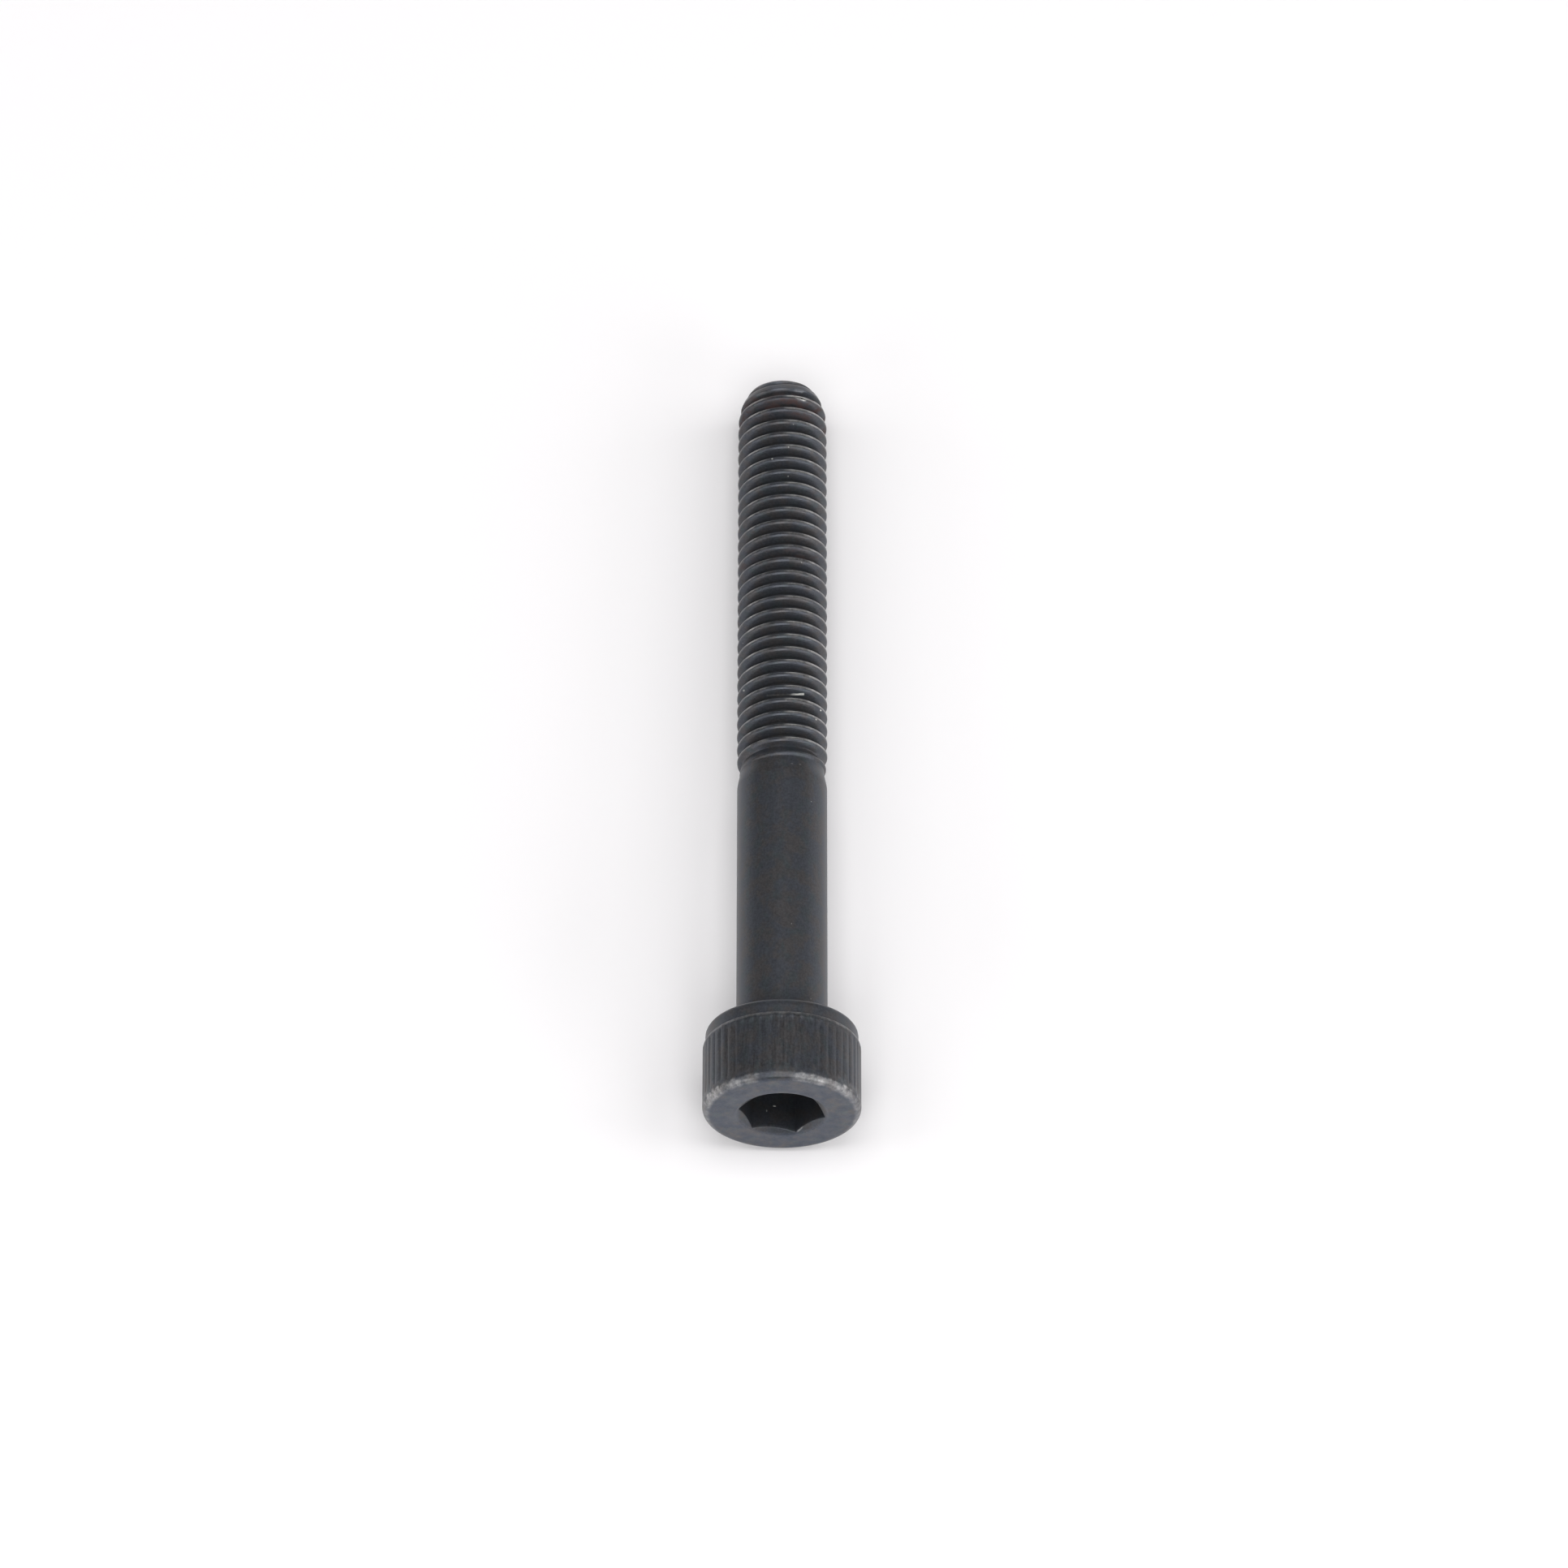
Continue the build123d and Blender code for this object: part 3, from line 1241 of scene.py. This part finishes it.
        # Painted shade at the bottom of the thread's grooves.
        tone = tone * (1.0 - self._roots(at) * (1.0 - self.root_shade))
        node = at.tree.node(
            "ShaderNodeVectorMath", {"operation": "SCALE"}, {0: oxide, "Scale": tone}
        )
        return node.outputs[0]

    def _roots(self, at: Surface) -> Shade:
        """How deep in the thread's grooves a point lies, from 0 to 1."""
        return at.radius.ease(2.20, 2.02) * at.level.between(*self.grooved, 0.8)

    def _bare_steel_and_highlights(self, at: Surface) -> Shade:
        """Where bare steel shows: handling has rubbed the rim, the crests, the mouth and a
        few nicks, and bare steel also stands for painted highlights on the rim, the crests,
        the knurl's foot and a glint near the tip.
        """
        rub = at.tree.noise(at.place, 3.2, 5.0)
        around = at.tree.moved(at.place, (0.0, 0.0, 9.0), (0.5, 0.5, 0.1))
        patchy = at.tree.noise(around, 1.0, 2.0)
        # Rim stretches of bare steel: partly worn oxide, partly painted highlight where the
        # rim catches the light.
        arcs = self._bright_arcs(at, self.rim_wear_and_highlights)
        outer = (at.level + (rub - 0.5) * 0.4).ease(4.34, 4.66)
        rim = at.radius.ease(3.68, 3.96) * outer * arcs
        rim = rim * (0.60 + rub.ease(0.32, 0.70) * 0.45 + at.grain.ease(0.30, 0.75) * 0.25)
        # Bare steel on the tip side of the crests, in the stretches where they catch the
        # light: partly wear, partly painted highlight.
        crest = at.crest.between(-0.09, -0.03, 0.09) * self._bright_arcs(at, self.crest_wear_and_highlights)
        crest = crest + at.crest.between(-0.05, 0.03, 0.07) * 0.05
        crest = crest * (patchy * 0.7 + rub * 0.3 + at.grain * 0.2).ease(0.30, 0.80)
        # Painted sheen over the thread's right side, and a faint even share of bare steel
        # over the whole thread.
        flank = self._bright_arcs(at, self.crest_wear_and_highlights[-1:]) * 0.35 + 0.014
        crest = (crest + flank) * at.level.between(*self.threaded, 0.5)
        ridges = at.radius.ease(4.140, 4.165) * at.level.between(1.1, 4.45, 0.25)
        ridges = ridges * rub.ease(0.35, 0.65) * (0.05 + at.level.ease(3.4, 4.3) * 0.05)
        # Ridges at the head's sides: a little wear and a painted highlight.
        sides = self._bright_arcs(at, self.rim_wear_and_highlights[-self.side_wear_and_sheen :])
        ridges = ridges * (1.0 + sides * 3.0)
        # Painted highlight along the rounded edge of the knurl's foot, given as bare steel.
        foot = at.radius.ease(4.05, 4.11) * at.level.between(0.90, 1.02, 0.08)
        foot = foot * (0.5 + rub.ease(0.4, 0.6) * 0.5) * 0.24
        seat = at.radius.ease(3.84, 3.94) * at.level.ease(0.32, 0.12) * rub * 0.16
        lip = at.radius.between(2.42, 2.46, 0.04) * at.level.ease(4.76, 4.80)
        cone = at.radius.between(2.03, 2.45, 0.03) * at.level.ease(4.50, 4.62)
        mouth = lip * rub.ease(0.35, 0.60) * 0.03 + cone * (rub * 0.10 + 0.02)
        bare = rim + crest + ridges + foot + seat + mouth
        for bright_patch in self.scuffs_and_glint:
            bare = bare + bright_patch.mask(at.tree, at.place) * (0.6 + rub.ease(0.35, 0.65) * 0.6)
        return bare.ease(0.0, 1.0)

    def _bright_arcs(self, at: Surface, arcs: Sequence[WearAndSheenArc]) -> Shade:
        """Sum of several stretches of bare steel and painted highlight at each angle about
        the axis.
        """
        masks = [arc.mask(at.angle) for arc in arcs]
        return sum(masks[1:], masks[0])

    def _stain(self, at: Surface) -> Shade:
        """Reddish residue, mostly in the first grooves behind the point."""
        shifted = at.tree.moved(at.place, (2.0, 5.0, 0.0), (1.0, 1.0, 1.4))
        blotch = at.tree.noise(shifted, 1.6, 5.0)
        low = at.radius.ease(2.43, 2.30)
        tip = at.level.between(*self.first_grooves, 0.35) * blotch.ease(0.39, 0.63)
        strays = at.level.between(*self.stray_groove, 0.25) * blotch.ease(0.44, 0.60)
        strays = strays * 0.5
        return (tip + strays) * (0.2 + low * 0.8) * 0.9

    def _dust(self, at: Surface) -> Shade:
        """Sparse pale specks, and a pale sliver that lies across one groove."""
        cells = at.tree.node(
            "ShaderNodeTexVoronoi",
            {"feature": "F1"},
            {"Vector": at.place, "Scale": 1.9, "Randomness": 1.0},
        )
        near = Shade(at.tree, cells.outputs["Distance"])
        tone = at.tree.node("ShaderNodeSeparateColor", inputs={0: cells.outputs["Color"]})
        chosen = Shade(at.tree, tone.outputs[0]).ease(0.80, 0.95)
        dust = near.ease(0.075, 0.03) * chosen * 0.45
        bend = at.x * at.x * self.sliver_bow + at.x * self.sliver_slant
        bend = at.level + bend - self.sliver_level
        sliver = (bend + (at.grain - 0.5) * 0.03).size().ease(0.042, 0.016)
        sliver = sliver * at.x.between(*self.sliver_span, 0.10)
        sliver = sliver * at.angle.between(0.9, 2.2, 0.1)
        dust = dust + sliver * (at.x.ease(0.2, 0.9) * 0.60 + 0.16) * (at.grain + 0.5)
        for speck in self.specks:
            dust = dust + speck.mask(at.tree, at.place)
        return dust.ease(0.0, 1.0)


@dataclass(frozen=True)
class PaleFloor:
    """Plain pale studio floor under the screw.

    Attributes:
        half_side: Half the floor's side in metres.
        colour: Colour of the floor.
    """

    half_side: float = 1.5
    colour: Colour = (0.90, 0.885, 0.895)

    def build(self) -> bpy.types.Object:
        """Lays the floor."""
        bpy.ops.object.select_all(action="DESELECT")
        bpy.ops.mesh.primitive_plane_add(size=2 * self.half_side)
        floor = bpy.context.active_object
        floor.name = "floor"
        made = bpy.data.materials.new("pale_floor")
        made.use_nodes = True
        tree = ShaderTree(made.node_tree)
        shader = tree.node(
            "ShaderNodeBsdfPrincipled",
            inputs={"Base Color": self.colour, "Roughness": 0.5},
        )
        tree.node("ShaderNodeOutputMaterial", inputs={"Surface": shader.outputs[0]})
        floor.data.materials.append(made)
        return floor


LOW_STRIP = (0.50, 0.16)
HIGH_PANEL = (0.50, 0.40)


@dataclass(frozen=True)
class SoftBox:
    """A large soft light that faces the screw.

    Attributes:
        name: Name of the light.
        around_deg: Where it stands round the screw, from in front of the head to the right.
        height_deg: How high it stands over the floor, as an angle from the screw.
        radiance: Brightness of its face.
        distance: Distance from the screw in metres.
        size: Width and height in metres.
    """

    name: str
    around_deg: float
    height_deg: float
    radiance: float
    distance: float = 0.80
    size: tuple[float, float] = (0.45, 0.30)

    def build(self) -> bpy.types.Object:
        """Adds the light and turns it towards the screw."""
        around, height = math.radians(self.around_deg), math.radians(self.height_deg)
        reach = self.distance * math.cos(height)
        place = Vector(
            (
                reach * math.sin(around),
                -reach * math.cos(around),
                self.distance * math.sin(height),
            )
        )
        bpy.ops.object.select_all(action="DESELECT")
        bpy.ops.object.light_add(type="AREA", location=place)
        box = bpy.context.active_object
        box.name = self.name
        box.rotation_euler = (-place).to_track_quat("-Z", "Y").to_euler()
        box.data.shape = "RECTANGLE"
        box.data.size, box.data.size_y = self.size
        box.data.energy = self.radiance * math.pi * self.size[0] * self.size[1]
        return box


@dataclass
class Studio:
    """Floor, soft lights all round, strongest from both sides of the head, and a dim room.

    Attributes:
        room: Brightness of the room behind the lights.
        boxes: The soft lights.
    """

    room: float = 0.04
    boxes: tuple[SoftBox, ...] = (
        SoftBox("front_left_box", -45.0, 20.0, 2.7),
        SoftBox("front_right_box", 45.0, 20.0, 4.0),
        SoftBox("right_box", 90.0, 20.0, 2.6),
        SoftBox("left_box", -90.0, 20.0, 1.9),
        SoftBox("back_box", 180.0, 20.0, 1.0),
        SoftBox("low_left_box", -60.0, 6.0, 0.8, size=LOW_STRIP),
        SoftBox("low_right_box", 60.0, 6.0, 1.7, size=LOW_STRIP),
        SoftBox("low_back_right_box", 125.0, 6.0, 0.7, size=LOW_STRIP),
        SoftBox("low_back_box", 180.0, 6.0, 1.0, size=(0.95, 0.16)),
        SoftBox("front_top_box", 0.0, 50.0, 3.8, size=HIGH_PANEL),
        SoftBox("right_top_box", 90.0, 50.0, 2.5, size=HIGH_PANEL),
        SoftBox("left_top_box", -90.0, 50.0, 1.7, size=HIGH_PANEL),
        SoftBox("top_box", 0.0, 89.9, 2.9, size=(0.50, 0.50)),
    )

    def build(self) -> None:
        """Builds the stage and its light."""
        PaleFloor().build()
        for box in self.boxes:
            box.build()
        world = bpy.data.worlds.new("studio")
        bpy.context.scene.world = world
        world.use_nodes = True
        tree = ShaderTree(world.node_tree)
        glow = tree.node(
            "ShaderNodeBackground",
            inputs={"Color": (1.0, 1.0, 1.0), "Strength": self.room},
        )
        tree.node("ShaderNodeOutputWorld", inputs={"Surface": glow.outputs[0]})
        bpy.context.scene.view_settings.view_transform = "Standard"


@dataclass(frozen=True)
class CameraStand:
    """The camera, placed in the screw's own frame.

    Attributes:
        eye: Where the camera is, in millimetres.
        aim: What it points at, in millimetres.
        lens: Focal length in millimetres.
        sensor: Sensor width in millimetres.
    """

    eye: tuple[float, float, float] = (0.246, 367.79, 193.70)
    aim: tuple[float, float, float] = (0.093, -14.29, -23.18)
    lens: float = 181.2
    sensor: float = 36.0

    def build(self, axis: ScrewAxis) -> bpy.types.Object:
        """Adds the camera and makes it the scene's.

        Args:
            axis: Where the screw lies.

        Returns:
            The camera.
        """
        eye, aim = axis.at(self.eye), axis.at(self.aim)
        forward = (aim - eye).normalized()
        side = forward.cross(axis.upward).normalized()
        turn = Matrix((side, side.cross(forward), -forward)).transposed().to_4x4()
        bpy.ops.object.select_all(action="DESELECT")
        bpy.ops.object.camera_add()
        camera = bpy.context.active_object
        camera.name = "camera"
        camera.matrix_world = Matrix.Translation(eye) @ turn
        camera.data.lens = self.lens
        camera.data.sensor_width = self.sensor
        camera.data.clip_start = 0.01
        bpy.context.scene.camera = camera
        return camera


# --------------------------------------------------------------------------------------------
# The screw
# --------------------------------------------------------------------------------------------


@dataclass
class CapScrew:
    """The whole screw, joined from its three worked parts into one closed mesh.

    Attributes:
        shank: Thread, neck and shank.
        head: Knurled head.
        socket: Hexagon socket.
        finish: Black oxide.
        sharp_deg: Edges steeper than this stay crisp.
    """

    shank: ThreadedShank = field(default_factory=ThreadedShank)
    head: Head = field(default_factory=Head)
    socket: Socket = field(default_factory=Socket)
    finish: BlackOxide = field(default_factory=BlackOxide)
    sharp_deg: float = 38.0

    def build(self, axis: ScrewAxis) -> bpy.types.Object:
        """Builds the screw and lays it down on its axis.

        Args:
            axis: Where the screw lies.

        Returns:
            The finished piece.
        """
        parts = [self.shank.build(), self.head.build(), self.socket.build()]
        for part in parts:
            log.info("%s: %d faces", part.object.name, len(part.object.data.polygons))
        bpy.ops.object.select_all(action="DESELECT")
        for part in parts:
            part.object.select_set(True)
        bpy.context.view_layer.objects.active = parts[0].object
        bpy.ops.object.join()
        whole = parts[0]
        self._fill_face(whole, 0.0, self.shank.seat_radius, self.head.seat_radius)
        self._fill_face(
            whole, self.head.height, self.socket.face_radius, self.head.face_radius
        )
        whole.edit()
        bpy.ops.mesh.select_all(action="SELECT")
        bpy.ops.mesh.normals_make_consistent(inside=False)
        whole.leave()
        piece = whole.object
        piece.name = piece.data.name = "screw"
        piece.data.transform(axis.matrix)
        bpy.ops.object.shade_smooth_by_angle(angle=math.radians(self.sharp_deg))
        piece.data.materials.clear()
        piece.data.materials.append(self.finish.material(axis))
        return piece

    def _fill_face(self, whole: Blank, level: float, inner: float, outer: float) -> None:
        """Closes the flat ring between two open loops on one face.

        Args:
            whole: The joined mesh.
            level: Level of the face.
            inner: Radius of the inner loop.
            outer: Radius of the outer loop.
        """
        whole.edit("EDGE")
        bpy.ops.mesh.select_all(action="DESELECT")
        bpy.ops.mesh.select_non_manifold(extend=False)
        whole.leave()
        radius, _, height = whole.polar()
        flat = np.abs(height - level) < 1e-3
        span = (radius > inner - 0.01) & (radius < outer + 0.01) & flat
        mesh = whole.object.data
        open_edge = np.empty(len(mesh.edges), bool)
        mesh.edges.foreach_get("select", open_edge)
        ends = np.empty(len(mesh.edges) * 2, int)
        mesh.edges.foreach_get("vertices", ends)
        ends = ends.reshape(-1, 2)
        keep = open_edge & span[ends].all(axis=1)
        mesh.polygons.foreach_set("select", np.zeros(len(mesh.polygons), bool))
        mesh.vertices.foreach_set("select", np.zeros(len(mesh.vertices), bool))
        mesh.edges.foreach_set("select", keep)
        whole.edit("EDGE")
        bpy.ops.mesh.fill(use_beauty=True)
        whole.leave()


def main() -> None:
    """Builds the screw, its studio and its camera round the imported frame."""
    logging.basicConfig(level=logging.INFO, format="%(name)s: %(message)s")
    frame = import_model()
    axis = ScrewAxis.from_record(frame["record"])
    piece = CapScrew().build(axis)
    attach(piece, "root")
    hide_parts(NODE)
    log.info("%s: %d faces", piece.name, len(piece.data.polygons))
    Studio().build()
    log.info("studio: floor, soft boxes and room light")
    CameraStand().build(axis)
    log.info("camera in place")


if __name__ == "__main__":
    main()
